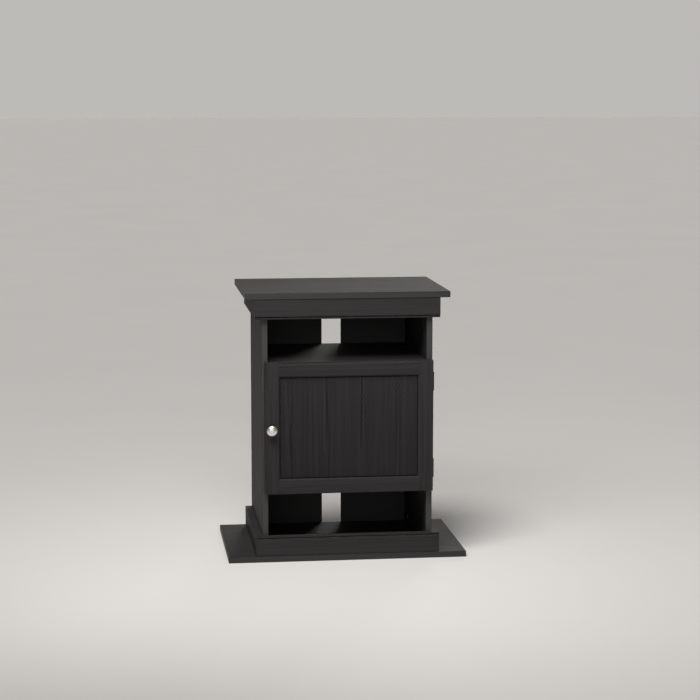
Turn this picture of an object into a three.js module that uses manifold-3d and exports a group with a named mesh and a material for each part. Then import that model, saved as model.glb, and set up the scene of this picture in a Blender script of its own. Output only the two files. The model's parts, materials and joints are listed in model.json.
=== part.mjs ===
// Aquarium stand cabinet: two open cubbies, a hinged door between them, and a
// moulded apron and plinth under a narrow top board and over a wide base board.
// Millimetres, +Z up. The origin is the middle of the underside, the front faces -Y.

import * as THREE from "three";
import { mergeVertices } from "three/addons/utils/BufferGeometryUtils.js";
import Module from "manifold-3d";

const wasm = await Module();
wasm.setup();

// ---- overall size ----
const height = 716;
const depth = 398;
const baseWidth = 636;
const topWidth = 542;
const board = 16;

// ---- carcass ----
const carcassWidth = 454;
const mouldThick = 18;
const mouldTall = 53;
const mouldSetback = 2;
const backThick = 3;
const cordGap = 54;
const shelfUnderside = 185.5;

// ---- moulding profile ----
const lipTall = 4;
const lipInset = 2;
const quirkTall = 2.5;
const quirkDeep = 5;
const arris = 1;

// ---- door ----
const doorLeft = -221;
const doorRight = 227;
const doorTall = 351;
const doorThick = 16;
const doorGap = 2.4;
const frameFace = 37;
const slope = 3;
const panelDrop = 6;
const panelThick = 6;
const tongueDrop = 9;
const panelGrip = 8;
const panelQuirk = 2.4;

// ---- clearance round a fitted piece, and how far a cutter runs past the face it opens ----
const fit = 0.3;
const over = 1;

// ---- knob ----
const knobInset = 18.5;
const knobDrop = 2.5;
const knobRadius = 14.5;
const knobReach = 25;
const knobBase = 9;
const knobNeck = 6.5;
const knobBore = { radius: 1.9, deep: 12 };
const knobHoleRadius = 2.4;
const knobScrew = { head: 4, headTall: 1.4, shank: 1.6, length: doorThick + 10 };

// ---- hinges ----
const hingeTall = 50;
const hingeOffset = 116.5;
const endKnuckle = 9;
const knuckleRadius = 2.3;
const pinRadius = 1;
const leafThick = 1.1;
const cabinetLeafWidth = 13.6;
const doorLeafWidth = 26;
const pinOutside = 2.5;
const pinPlay = 0.15;
const hingeScrewOffset = 14;
const doorScrewShare = 0.62;

// ---- fasteners ----
const screwHead = 2.6;
const screwShank = 1.5;
const screwLength = 12;
const screwPoint = 2;
const screwSides = 12;
const camRadius = 7.5;
const camDeep = 12;
const camSides = 20;
const camInset = 24;
const camFromEnd = 60;
const boltRadius = 2.5;
const boltHead = 3.4;
const boltIntoBoard = 10;
const boltNeck = 0.6;
const camSlot = { half: 4, halfWide: 0.6, deep: 1.5 };
const shelfCam = { inset: 26, y: 0 };

// ---- magnetic catch and its strike plate ----
const catchSize = { wide: 46, deep: 14, tall: 11, x: -165 };
const catchEar = { tall: 5, halfWide: 5, screwOffset: 17 };
const catchScrew = { head: 3.2, headTall: 1.2, length: 16 };
const strike = { wide: 34, tall: 12, thick: 1 };
const strikeScrew = { head: 2.8, headTall: 0.9, length: 10 };

// ---- derived places ----
const middle = height / 2;
const backPlane = depth / 2;
const frontPlane = -depth / 2;
const mouldFront = frontPlane + mouldSetback;
const carcassFront = mouldFront + mouldThick;
const carcassBack = backPlane - backThick;
const panelOut = carcassWidth / 2;
const panelIn = panelOut - board;
const mouldOut = panelOut + mouldThick;
const topUnder = height - board;
const shelfLow = shelfUnderside;
const shelfHigh = height - shelfUnderside - board;
const doorBack = carcassFront - doorGap;
const doorFront = doorBack - doorThick;
const doorLow = middle - doorTall / 2;
const doorHigh = middle + doorTall / 2;
const pinX = doorRight + pinOutside;
const pinY = carcassFront - doorGap / 2;

// ---- finishes ----
function finish(color, roughness, metalness = 0) {
  return new THREE.MeshStandardMaterial({ color, roughness, metalness });
}
const blackGrain = () => finish(0x2b2a2c, 0.55);
const doorGrain = () => finish(0x262528, 0.5);
const hardboard = () => finish(0x6a5540, 0.85);
const blackSteel = () => finish(0x1c1c1e, 0.45, 0.6);
const nickel = () => finish(0xc9c5bc, 0.32, 1);
const zinc = () => finish(0xaeb1b4, 0.4, 1);
const blackPlastic = () => finish(0x161617, 0.6);

// ---- solids ----
function toSolid(geometry) {
  const plain = geometry.clone();
  plain.deleteAttribute("normal");
  plain.deleteAttribute("uv");
  const merged = mergeVertices(plain, 1e-5);
  const mesh = new wasm.Mesh({
    numProp: 3,
    vertProperties: Float32Array.from(merged.attributes.position.array),
    triVerts: Uint32Array.from(merged.index.array),
  });
  return new wasm.Manifold(mesh);
}

function toGeometry(solid) {
  const mesh = solid.getMesh();
  const geometry = new THREE.BufferGeometry();
  geometry.setAttribute("position", new THREE.BufferAttribute(Float32Array.from(mesh.vertProperties), 3));
  geometry.setIndex(Array.from(mesh.triVerts));
  geometry.computeVertexNormals();
  return geometry;
}

function cut(geometry, cutters) {
  return toGeometry(cutters.reduce((solid, cutter) => solid.subtract(toSolid(cutter)), toSolid(geometry)));
}

function join(...geometries) {
  const solids = geometries.map(toSolid);
  return toGeometry(solids.reduce((whole, solid) => whole.add(solid)));
}

// A box given by its lowest and highest corners.
function block(low, high) {
  const size = high.map((value, i) => value - low[i]);
  const geometry = new THREE.BoxGeometry(...size);
  geometry.translate(...low.map((value, i) => value + size[i] / 2));
  return geometry;
}

// A turned shape: rows of [radius, distance] along a direction from a place.
function turned(profile, place, direction, sides = 16) {
  const points = profile.map(([radius, along]) => new THREE.Vector2(radius, along));
  const geometry = new THREE.LatheGeometry(points, sides);
  const turn = new THREE.Quaternion().setFromUnitVectors(
    new THREE.Vector3(0, 1, 0),
    new THREE.Vector3(...direction),
  );
  geometry.applyQuaternion(turn);
  geometry.translate(...place);
  return geometry;
}

function rod(radius, place, direction, length, sides = 16) {
  return turned([[0, 0], [radius, 0], [radius, length], [0, length]], place, direction, sides);
}

// A straight strip whose section is drawn in (u, v) and whose ends may be mitred:
// place(u, v, end) gives the point of the section at the start (0) or the end (1).
function strip(section, place) {
  const shape = new THREE.Shape(section.map(([u, v]) => new THREE.Vector2(u, v)));
  const geometry = new THREE.ExtrudeGeometry(shape, { depth: 1, bevelEnabled: false });
  const position = geometry.attributes.position;
  for (let i = 0; i < position.count; i += 1) {
    position.setXYZ(i, ...place(position.getX(i), position.getY(i), position.getZ(i)));
  }
  return geometry;
}

const object = new THREE.Group();

function part(name, geometry, material) {
  geometry.deleteAttribute("uv");
  geometry.computeVertexNormals();
  const mesh = new THREE.Mesh(geometry, material);
  mesh.name = name;
  object.add(mesh);
}

const sides = [["left", -1], ["right", 1]];

// ---- cam fittings: a cam in a round pocket and the bolt that it draws in ----
const camRows = [["front", carcassFront + camFromEnd], ["rear", carcassBack - camFromEnd]];
const panelCuts = { left: [], right: [] };
const topCuts = [];
const baseCuts = [];

function cornerCam(side, sign, row, y, upper) {
  const end = upper ? "upper" : "lower";
  const seam = upper ? topUnder : board;
  const inward = upper ? -1 : 1;
  const camZ = seam + inward * camInset;
  const face = [sign * panelIn, y, camZ];
  const name = `${end}_${side}_${row}`;
  const boltX = sign * (panelIn + board / 2);
  const shankLength = camInset - camRadius + over;
  const outside = face[0] - sign * over;
  panelCuts[side].push(rod(camRadius + fit, [outside, y, camZ], [sign, 0, 0], camDeep + over + fit, camSides));
  panelCuts[side].push(rod(boltHead + fit, [boltX, y, seam - inward * over], [0, 0, inward], camInset, screwSides));
  (upper ? topCuts : baseCuts).push(
    rod(boltRadius + fit, [boltX, y, seam + inward * over], [0, 0, -inward], boltIntoBoard + over + fit, screwSides),
  );
  // the slot lets the bolt's head into the cam
  const cam = rod(camRadius, face, [sign, 0, 0], camDeep, camSides);
  const mouth = rod(boltHead + fit, [boltX, y, seam], [0, 0, inward], camInset + camSlot.deep, screwSides);
  const bottom = face[0] + sign * camSlot.deep;
  const driverSlot = block(
    [Math.min(outside, bottom), y - camSlot.half, camZ - camSlot.halfWide],
    [Math.max(outside, bottom), y + camSlot.half, camZ + camSlot.halfWide],
  );
  part(`cam_${name}`, cut(cam, [mouth, driverSlot]), zinc());
  const profile = [
    [0, -boltIntoBoard],
    [boltRadius, -boltIntoBoard],
    [boltRadius, 0],
    [boltRadius - boltNeck, boltNeck],
    [boltRadius - boltNeck, shankLength],
    [boltHead, shankLength + 1],
    [boltHead, shankLength + 3],
    [0, shankLength + 3],
  ];
  part(`cam_bolt_${name}`, turned(profile, [boltX, y, seam], [0, 0, inward], screwSides), zinc());
}
for (const [side, sign] of sides) {
  for (const [row, y] of camRows) {
    cornerCam(side, sign, row, y, true);
    cornerCam(side, sign, row, y, false);
  }
}

// ---- shelves, each drawn to the side panels by a cam in its underside ----
for (const [name, low] of [["lower_shelf", shelfLow], ["upper_shelf", shelfHigh]]) {
  const pockets = [];
  for (const [side, sign] of sides) {
    const x = sign * (panelIn - shelfCam.inset);
    const pocket = [x, shelfCam.y, low - over];
    pockets.push(rod(camRadius + fit, pocket, [0, 0, 1], camDeep + over + fit, camSides));
    const cam = rod(camRadius, [x, shelfCam.y, low], [0, 0, 1], camDeep, camSides);
    const driverSlot = block(
      [x - camSlot.half, shelfCam.y - camSlot.halfWide, low - over],
      [x + camSlot.half, shelfCam.y + camSlot.halfWide, low + camSlot.deep],
    );
    part(`${name}_cam_${side}`, cut(cam, [driverSlot]), zinc());
  }
  const plank = block([-panelIn, carcassFront, low], [panelIn, carcassBack, low + board]);
  part(name, cut(plank, pockets), blackGrain());
}

// ---- top and base boards ----
function slab(name, width, low, cutters) {
  const geometry = block([-width / 2, frontPlane, low], [width / 2, backPlane, low + board]);
  part(name, cut(geometry, cutters), blackGrain());
}
slab("top_board", topWidth, topUnder, topCuts);
slab("base_board", baseWidth, 0, baseCuts);

// ---- aprons under the top board and plinths over the base board ----
const mouldSection = [
  [mouldThick, 0],
  [lipInset, 0],
  [lipInset, lipTall],
  [quirkDeep, lipTall],
  [quirkDeep, lipTall + quirkTall],
  [arris, lipTall + quirkTall],
  [0, lipTall + quirkTall + arris],
  [0, mouldTall],
  [mouldThick, mouldTall],
];

// The front board runs the full width, and the plain side boards butt against it.
function mouldings(name, section, low) {
  const front = strip(section, (t, z, end) => [(2 * end - 1) * mouldOut, mouldFront + t, z]);
  part(`${name}_front`, front, blackGrain());
  for (const [side, sign] of sides) {
    const edges = [sign * panelOut, sign * mouldOut];
    const plank = block(
      [Math.min(...edges), carcassFront, low],
      [Math.max(...edges), backPlane, low + mouldTall],
    );
    part(`${name}_${side}`, plank, blackGrain());
  }
}
const apronLow = topUnder - mouldTall;
mouldings("apron", mouldSection.map(([t, z]) => [t, apronLow + z]), apronLow);
mouldings("plinth", mouldSection.map(([t, z]) => [t, board + mouldTall - z]), board);

// ---- hinges ----
// The cabinet leaf and its two end knuckles stay with the carcass, and so does
// the pin; the door leaf holds the long middle knuckle.
const doorCuts = { left: [], right: [] };

function knuckle(low, high) {
  return rod(knuckleRadius, [pinX, pinY, low], [0, 0, 1], high - low, 16);
}

function woodScrew(name, place, direction) {
  const profile = [
    [0, 0],
    [screwHead, 0],
    [screwHead, leafThick - 0.4],
    [screwShank, leafThick - 0.15],
    [screwShank, screwLength - screwPoint],
    [0, screwLength],
  ];
  part(name, turned(profile, place, direction, screwSides), blackSteel());
}

function pilot(place, direction) {
  return rod(screwShank + fit, place, direction, screwLength + fit, screwSides);
}

function hinge(name, centre) {
  const low = centre - hingeTall / 2;
  const high = centre + hingeTall / 2;
  const lowJoint = low + endKnuckle;
  const highJoint = high - endKnuckle;
  const pinHole = rod(pinRadius + pinPlay, [pinX, pinY, low - over], [0, 0, 1], hingeTall + 2 * over, screwSides);
  const screwRows = [["low", centre - hingeScrewOffset], ["high", centre + hingeScrewOffset]];

  const cabinetY = [carcassFront - leafThick, carcassFront];
  const cabinetScrewX = panelOut - board / 2;
  const cabinetPlate = block(
    [panelOut - fit - cabinetLeafWidth, cabinetY[0], low],
    [panelOut - fit, cabinetY[1], high],
  );
  const cabinetTabs = [[low, lowJoint], [highJoint, high]].flatMap(([a, b]) => [
    block([panelOut - over, cabinetY[0], a], [pinX, cabinetY[1], b]),
    knuckle(a, b),
  ]);
  const cabinetHoles = screwRows.map(([, z]) =>
    rod(screwHead + fit, [cabinetScrewX, cabinetY[0] - over, z], [0, 1, 0], leafThick + 2 * over, screwSides),
  );
  part(
    `${name}_cabinet_leaf`,
    cut(join(cabinetPlate, ...cabinetTabs), [pinHole, ...cabinetHoles]),
    blackSteel(),
  );

  const doorY = [doorBack, doorBack + leafThick];
  const doorScrewX = doorRight - fit - doorLeafWidth * doorScrewShare;
  const doorPlate = block([doorRight - fit - doorLeafWidth, doorY[0], low], [doorRight - fit, doorY[1], high]);
  const middleLow = lowJoint + fit;
  const middleHigh = highJoint - fit;
  const doorTab = block([doorRight - over, doorY[0], middleLow], [pinX, doorY[1], middleHigh]);
  const doorHoles = screwRows.map(([, z]) =>
    rod(screwHead + fit, [doorScrewX, doorY[0] - over, z], [0, 1, 0], leafThick + 2 * over, screwSides),
  );
  part(
    `${name}_door_leaf`,
    cut(join(doorPlate, doorTab, knuckle(middleLow, middleHigh)), [pinHole, ...doorHoles]),
    blackSteel(),
  );

  part(`${name}_pin`, rod(pinRadius, [pinX, pinY, low], [0, 0, 1], hingeTall, screwSides), blackSteel());

  for (const [row, z] of screwRows) {
    woodScrew(`${name}_cabinet_screw_${row}`, [cabinetScrewX, cabinetY[0] + 0.1, z], [0, 1, 0]);
    panelCuts.right.push(pilot([cabinetScrewX, cabinetY[1] - 0.5, z], [0, 1, 0]));
    woodScrew(`${name}_door_screw_${row}`, [doorScrewX, doorY[1] - 0.1, z], [0, -1, 0]);
    doorCuts.right.push(pilot([doorScrewX, doorBack + 0.5, z], [0, -1, 0]));
  }
}
hinge("upper_hinge", middle + hingeOffset);
hinge("lower_hinge", middle - hingeOffset);

// ---- magnetic catch under the upper shelf, and its strike plate on the door ----
function flatScrew({ head, headTall, length }, place, direction) {
  const profile = [
    [0, 0],
    [head, 0],
    [head, headTall],
    [screwShank, headTall],
    [screwShank, length - 1],
    [0, length],
  ];
  return turned(profile, place, direction, screwSides);
}

function magneticCatch() {
  const frontY = carcassFront + 1;
  const middleY = frontY + catchSize.deep / 2;
  const low = shelfHigh - catchSize.tall;
  const screwXs = [["left", catchSize.x - catchEar.screwOffset], ["right", catchSize.x + catchEar.screwOffset]];
  const body = block(
    [catchSize.x - catchSize.wide / 2, frontY, low],
    [catchSize.x + catchSize.wide / 2, frontY + catchSize.deep, shelfHigh],
  );
  const ears = screwXs.map(([side, x]) => {
    const outward = side === "left" ? -1 : 1;
    const edges = [x - outward * catchEar.halfWide, catchSize.x + outward * (catchSize.wide / 2 + over)];
    return block(
      [Math.min(...edges), frontY - over, low - over],
      [Math.max(...edges), frontY + catchSize.deep + over, low + catchEar.tall],
    );
  });
  const holes = screwXs.map(([, x]) =>
    rod(screwShank + fit, [x, middleY, low - over], [0, 0, 1], catchSize.tall + 2 * over, screwSides),
  );
  part("catch_body", cut(body, [...ears, ...holes]), blackPlastic());
  for (const [side, x] of screwXs) {
    const headBottom = low + catchEar.tall - catchScrew.headTall - 0.1;
    part(`catch_screw_${side}`, flatScrew(catchScrew, [x, middleY, headBottom], [0, 0, 1]), zinc());
  }
  return screwXs.map(([, x]) =>
    rod(screwShank + fit, [x, middleY, shelfHigh - over], [0, 0, 1], catchScrew.length - 2 * over, screwSides),
  );
}
const catchPilots = magneticCatch();
const upperShelf = object.children.find((mesh) => mesh.name === "upper_shelf");
upperShelf.geometry = cut(upperShelf.geometry, catchPilots);
upperShelf.geometry.computeVertexNormals();

const strikeZ = shelfHigh - catchSize.tall / 2;
const strikePlate = block(
  [catchSize.x - strike.wide / 2, doorBack, strikeZ - strike.tall / 2],
  [catchSize.x + strike.wide / 2, doorBack + strike.thick, strikeZ + strike.tall / 2],
);
const strikeHole = rod(
  screwShank + fit,
  [catchSize.x, doorBack - over, strikeZ],
  [0, 1, 0],
  strike.thick + 2 * over,
  screwSides,
);
part("strike_plate", cut(strikePlate, [strikeHole]), zinc());
const strikeScrewPlace = [catchSize.x, doorBack + strike.thick + strikeScrew.headTall + 0.05, strikeZ];
part("strike_screw", flatScrew(strikeScrew, strikeScrewPlace, [0, -1, 0]), zinc());
const strikePilot = rod(
  screwShank + fit,
  [catchSize.x, doorBack + over, strikeZ],
  [0, -1, 0],
  strikeScrew.length,
  screwSides,
);

// ---- side panels ----
for (const [side, sign] of sides) {
  const edges = [sign * panelIn, sign * panelOut];
  const plank = block(
    [Math.min(...edges), carcassFront, board],
    [Math.max(...edges), carcassBack, topUnder],
  );
  part(`${side}_side_panel`, cut(plank, panelCuts[side]), blackGrain());
}

// ---- back panels, with an open gap for cords between them ----
for (const [side, sign] of sides) {
  const edges = [(sign * cordGap) / 2, sign * panelOut];
  part(
    `back_panel_${side}`,
    block([Math.min(...edges), carcassBack, board], [Math.max(...edges), backPlane, topUnder]),
    hardboard(),
  );
}

// ---- door: stiles and rails with a bevelled inner edge round a flat panel ----
const stickEnd = frameFace + slope;
const panelBack = panelDrop + panelThick;
const frameFlat = [[0, 0], [frameFace, 0], [frameFace, doorThick], [0, doorThick]];
const frameStick = [[frameFace, 0], [stickEnd, slope], [stickEnd, doorThick], [frameFace, doorThick]];
const slotEdge = stickEnd - panelGrip - fit;

function between(a, b, end) {
  return THREE.MathUtils.lerp(a, b, end);
}

function stile(name, edgeX, inward, cutters) {
  const place = (u, d, end, trim) => {
    const along = inward > 0 ? end : 1 - end;
    return [edgeX + inward * u, doorFront + d, between(doorLow + trim, doorHigh - trim, along)];
  };
  const flat = strip(frameFlat, (u, d, end) => place(u, d, end, 0));
  const stick = strip(frameStick, (u, d, end) => place(u, d, end, u));
  const edges = [edgeX + inward * slotEdge, edgeX + inward * (stickEnd + over)];
  const slot = block(
    [Math.min(...edges), doorFront + tongueDrop, doorLow + slotEdge],
    [Math.max(...edges), doorFront + panelBack, doorHigh - slotEdge],
  );
  part(name, cut(join(flat, stick), [slot, ...cutters]), doorGrain());
}

function rail(edgeZ, inward) {
  const place = (u, d, end, trim) => {
    const along = inward > 0 ? 1 - end : end;
    return [between(doorLeft + trim, doorRight - trim, along), doorFront + d, edgeZ + inward * u];
  };
  const flat = strip(frameFlat, (u, d, end) => place(u, d, end, frameFace));
  const stick = strip(frameStick, (u, d, end) => place(u, d, end, u));
  const edges = [edgeZ + inward * slotEdge, edgeZ + inward * (stickEnd + over)];
  const slot = block(
    [doorLeft, doorFront + tongueDrop, Math.min(...edges)],
    [doorRight, doorFront + panelBack, Math.max(...edges)],
  );
  return cut(join(flat, stick), [slot]);
}

const knobX = doorLeft + knobInset;
const knobZ = middle - knobDrop;
const knobHole = rod(knobHoleRadius, [knobX, doorFront - over, knobZ], [0, 1, 0], doorThick + 2 * over, screwSides);
stile("door_left_stile", doorLeft, 1, [knobHole]);
stile("door_right_stile", doorRight, -1, doorCuts.right);
part("door_top_rail", cut(rail(doorHigh, -1), [strikePilot]), doorGrain());
part("door_bottom_rail", rail(doorLow, 1), doorGrain());

// the panel's field stands forward of the tongue that the frame's slot holds
function panelBlock(inset, drop) {
  return block(
    [doorLeft + inset, doorFront + drop, doorLow + inset],
    [doorRight - inset, doorFront + panelBack, doorHigh - inset],
  );
}
const tongue = panelBlock(stickEnd - panelGrip, tongueDrop);
const field = panelBlock(stickEnd + panelQuirk, panelDrop);
part("door_panel", join(tongue, field), doorGrain());

// ---- knob and the screw that holds it through the stile ----
const knobOutline = [
  [knobBore.radius, 0],
  [knobBase, 0],
  [knobBase, 1.6],
  [knobNeck, 3.5],
  [knobNeck - 0.8, 8],
  [8.5, 12],
  [12.5, 14.5],
  [knobRadius, 17.5],
  [13.4, 20.5],
  [10, 23.2],
  [5, knobReach - 0.4],
  [0, knobReach],
  [0, knobBore.deep],
  [knobBore.radius, knobBore.deep],
  [knobBore.radius, 0],
];
part("door_knob", turned(knobOutline, [knobX, doorFront, knobZ], [0, -1, 0], 28), nickel());
const knobScrewProfile = [
  [0, 0],
  [knobScrew.head, 0],
  [knobScrew.head, knobScrew.headTall],
  [knobScrew.shank, knobScrew.headTall + 0.5],
  [knobScrew.shank, knobScrew.length],
  [0, knobScrew.length],
];
const knobScrewPlace = [knobX, doorBack + knobScrew.headTall + 0.55, knobZ];
part("knob_screw", turned(knobScrewProfile, knobScrewPlace, [0, -1, 0], screwSides), zinc());

export default object;
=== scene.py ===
import json
import math

import bmesh
import bpy
from mathutils import Matrix, Vector

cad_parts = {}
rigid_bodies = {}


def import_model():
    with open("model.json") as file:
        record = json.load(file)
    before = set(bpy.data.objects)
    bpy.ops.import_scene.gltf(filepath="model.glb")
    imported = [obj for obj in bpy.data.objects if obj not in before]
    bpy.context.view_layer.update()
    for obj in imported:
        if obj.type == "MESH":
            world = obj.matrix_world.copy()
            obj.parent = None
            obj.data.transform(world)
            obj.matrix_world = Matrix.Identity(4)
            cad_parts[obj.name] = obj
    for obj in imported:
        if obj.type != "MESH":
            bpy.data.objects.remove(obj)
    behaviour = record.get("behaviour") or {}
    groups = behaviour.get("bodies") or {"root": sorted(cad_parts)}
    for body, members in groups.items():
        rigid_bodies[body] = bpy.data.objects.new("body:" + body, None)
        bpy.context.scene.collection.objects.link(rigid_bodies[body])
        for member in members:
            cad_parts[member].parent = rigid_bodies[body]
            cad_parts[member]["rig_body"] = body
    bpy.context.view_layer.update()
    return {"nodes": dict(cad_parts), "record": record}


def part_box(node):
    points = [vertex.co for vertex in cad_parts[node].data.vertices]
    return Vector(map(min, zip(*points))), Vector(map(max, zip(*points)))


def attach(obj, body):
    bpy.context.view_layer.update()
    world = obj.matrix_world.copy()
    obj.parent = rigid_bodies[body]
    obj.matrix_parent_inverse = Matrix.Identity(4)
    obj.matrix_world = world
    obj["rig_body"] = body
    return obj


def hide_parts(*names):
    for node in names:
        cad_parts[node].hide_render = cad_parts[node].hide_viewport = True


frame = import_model()
nodes = frame["nodes"]
mm = 0.001
xAxis, yAxis, zAxis = Vector((1, 0, 0)), Vector((0, 1, 0)), Vector((0, 0, 1))
print("cabinet frame loaded:", len(nodes), "nodes")


viewpoint = {
    "place": (-0.6408, -5.370, 1.2689),
    "downTilt": 7.7013,
    "turn": -7.112,
    "lens": 103.04,
    "sensor": 36,
}

camera = bpy.data.objects.new("camera", bpy.data.cameras.new("camera"))
bpy.context.scene.collection.objects.link(camera)
camera.location = viewpoint["place"]
camera.rotation_euler = (
    math.radians(90 - viewpoint["downTilt"]),
    0,
    math.radians(viewpoint["turn"]),
)
camera.data.lens = viewpoint["lens"]
camera.data.sensor_width = viewpoint["sensor"]
bpy.context.scene.camera = camera
bpy.context.scene.view_settings.view_transform = "Standard"
print("camera placed")


# shader helpers: a value given to a socket is linked if it is a socket itself
def addNode(tree, kind, settings=None, inputs=None):
    made = tree.nodes.new(kind)
    for key, value in (settings or {}).items():
        setattr(made, key, value)
    for key, value in (inputs or {}).items():
        if isinstance(value, bpy.types.NodeSocket):
            tree.links.new(value, made.inputs[key])
        else:
            made.inputs[key].default_value = value
    return made


def mathNode(tree, operation, *values, clamp=False):
    settings = {"operation": operation, "use_clamp": clamp}
    return addNode(tree, "ShaderNodeMath", settings, dict(enumerate(values))).outputs[0]


def addSwing(tree, value, gain, onto):
    # how far the value is from a half, times the gain, added to another value
    return mathNode(tree, "MULTIPLY_ADD", mathNode(tree, "SUBTRACT", value, 0.5), gain, onto)


def mixColors(tree, factor, dark, light):
    inputs = {0: factor, 6: dark, 7: light}
    return addNode(tree, "ShaderNodeMix", {"data_type": "RGBA"}, inputs).outputs[2]


def mapped(tree, vector, **settings):
    return addNode(tree, "ShaderNodeMapping", None, {"Vector": vector, **settings}).outputs[0]


def stretchedNoise(tree, vector, stretch, scale=1.0, detail=1.0, roughness=0.5, distortion=0.0):
    inputs = {
        "Vector": mapped(tree, vector, Scale=stretch),
        "Scale": scale,
        "Detail": detail,
        "Roughness": roughness,
        "Distortion": distortion,
    }
    return addNode(tree, "ShaderNodeTexNoise", None, inputs).outputs["Fac"]


def evenNoise(tree, vector, scale, detail, roughness=0.5, distortion=0.0):
    return stretchedNoise(tree, vector, (1, 1, 1), scale, detail, roughness, distortion)


def spread(tree, value, low, high, toLow=0.0, toHigh=1.0):
    inputs = {"Value": value, "From Min": low, "From Max": high, "To Min": toLow, "To Max": toHigh}
    settings = {"interpolation_type": "SMOOTHSTEP"}
    return addNode(tree, "ShaderNodeMapRange", settings, inputs).outputs[0]


def shaderGroup(name, inputs, outputs):
    group = bpy.data.node_groups.new(name, "ShaderNodeTree")
    for label, kind, value in inputs:
        made = group.interface.new_socket(label, in_out="INPUT", socket_type=kind)
        if value is not None:
            made.default_value = value
    for label, kind in outputs:
        group.interface.new_socket(label, in_out="OUTPUT", socket_type=kind)
    return group, group.nodes.new("NodeGroupInput"), group.nodes.new("NodeGroupOutput")


def placeGroup(tree, group, inputs):
    return addNode(tree, "ShaderNodeGroup", {"node_tree": group}, inputs)


def newMaterial(name):
    material = bpy.data.materials.new(name)
    material.use_nodes = True
    tree = material.node_tree
    tree.nodes.clear()
    shader = tree.nodes.new("ShaderNodeBsdfPrincipled")
    output = tree.nodes.new("ShaderNodeOutputMaterial")
    tree.links.new(shader.outputs[0], output.inputs["Surface"])
    coordinates = tree.nodes.new("ShaderNodeTexCoord").outputs["Object"]
    return material, tree, shader, coordinates


def dress(tree, shader, color, roughness):
    tree.links.new(color, shader.inputs["Base Color"])
    tree.links.new(roughness, shader.inputs["Roughness"])


def emboss(tree, shader, height, strength, distance):
    inputs = {"Strength": strength, "Distance": distance, "Height": height}
    bump = addNode(tree, "ShaderNodeBump", None, inputs)
    tree.links.new(bump.outputs[0], shader.inputs["Normal"])


# the printed and embossed grain: it runs along X, and Y and Z lie across it
woodGrain = {
    "wander": {"stretch": (1.6, 6, 6), "reach": 0.022},
    "stave": {
        "perMetre": 10.7,
        "strayStretch": (0.4, 9, 9),
        "stray": 0.5,
        "full": 0.03,
        "gone": 0.13,
    },
    "tick": {
        "stretch": (60, 150, 150),
        "wave": {
            "Scale": 0.55,
            "Distortion": 2.0,
            "Detail": 2.0,
            "Detail Scale": 0.6,
            "Detail Roughness": 0.55,
        },
        "runStretch": (4, 11, 11),
        "run": (0.44, 0.56),
    },
    "streak": {"stretch": (1.7, 165, 165), "detail": 2.0, "roughness": 0.65, "tone": 0.72, "height": 0.30},
    "dense": {"stretch": (2.2, 210, 210), "roughness": 0.6, "gain": 2.4, "tone": 0.85, "height": 0.5},
    "wide": {"stretch": (0.4, 60, 60), "tone": 0.25},
    "pore": {
        "stretch": (6, 300, 300),
        "roughness": 0.55,
        "span": (0.55, 0.67),
        "patchStretch": (1.5, 60, 60),
        "patchSpan": (0.40, 0.60),
        "offStave": 0.3,
        "offPatch": 0.35,
        "tone": -0.45,
        "height": -0.7,
    },
    "middleTone": 0.55,
    "middleHeight": 0.6,
}


def wanderingPlace(tree, place):
    # every line of the grain wanders slowly
    wander = woodGrain["wander"]
    swing = stretchedNoise(tree, place, wander["stretch"])
    aside = addSwing(tree, swing, wander["reach"], 0.0)
    shift = addNode(tree, "ShaderNodeCombineXYZ", None, {"Y": aside, "Z": aside})
    inputs = {0: place, 1: shift.outputs[0]}
    return addNode(tree, "ShaderNodeVectorMath", {"operation": "ADD"}, inputs).outputs[0]


def staveMask(tree, place, warped):
    # narrow staves of denser figure, a hand's width apart
    stave = woodGrain["stave"]
    inputs = {0: warped, 1: (0, 1, 1)}
    across = addNode(tree, "ShaderNodeVectorMath", {"operation": "DOT_PRODUCT"}, inputs).outputs["Value"]
    stray = mathNode(tree, "MULTIPLY", stretchedNoise(tree, place, stave["strayStretch"]), stave["stray"])
    distance = mathNode(tree, "MULTIPLY_ADD", across, stave["perMetre"], stray)
    fold = mathNode(tree, "PINGPONG", distance, 0.5)
    return spread(tree, fold, stave["full"], stave["gone"], 1.0, 0.0)


def slantingTicks(tree, place):
    # in some runs of a stave the growth rings meet the face at a slant and show as ticks
    tick = woodGrain["tick"]
    settings = {"wave_type": "BANDS", "bands_direction": "DIAGONAL", "wave_profile": "SAW"}
    inputs = {"Vector": mapped(tree, place, Scale=tick["stretch"]), **tick["wave"]}
    slanting = addNode(tree, "ShaderNodeTexWave", settings, inputs).outputs["Fac"]
    runs = spread(tree, stretchedNoise(tree, place, tick["runStretch"]), *tick["run"])
    return mathNode(tree, "MULTIPLY", mathNode(tree, "SUBTRACT", slanting, 0.5), runs)


def poreMask(tree, warped, staves):
    # open pores, thickest in the staves and in patches
    pore = woodGrain["pore"]
    openings = stretchedNoise(tree, warped, pore["stretch"], roughness=pore["roughness"])
    patches = stretchedNoise(tree, warped, pore["patchStretch"])
    pores = spread(tree, openings, *pore["span"])
    patchy = spread(tree, patches, *pore["patchSpan"])
    staveShare = mathNode(tree, "MULTIPLY_ADD", staves, 1 - pore["offStave"], pore["offStave"])
    patchShare = mathNode(tree, "MULTIPLY_ADD", patchy, 1 - pore["offPatch"], pore["offPatch"])
    return mathNode(tree, "MULTIPLY", mathNode(tree, "MULTIPLY", pores, staveShare), patchShare)


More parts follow.
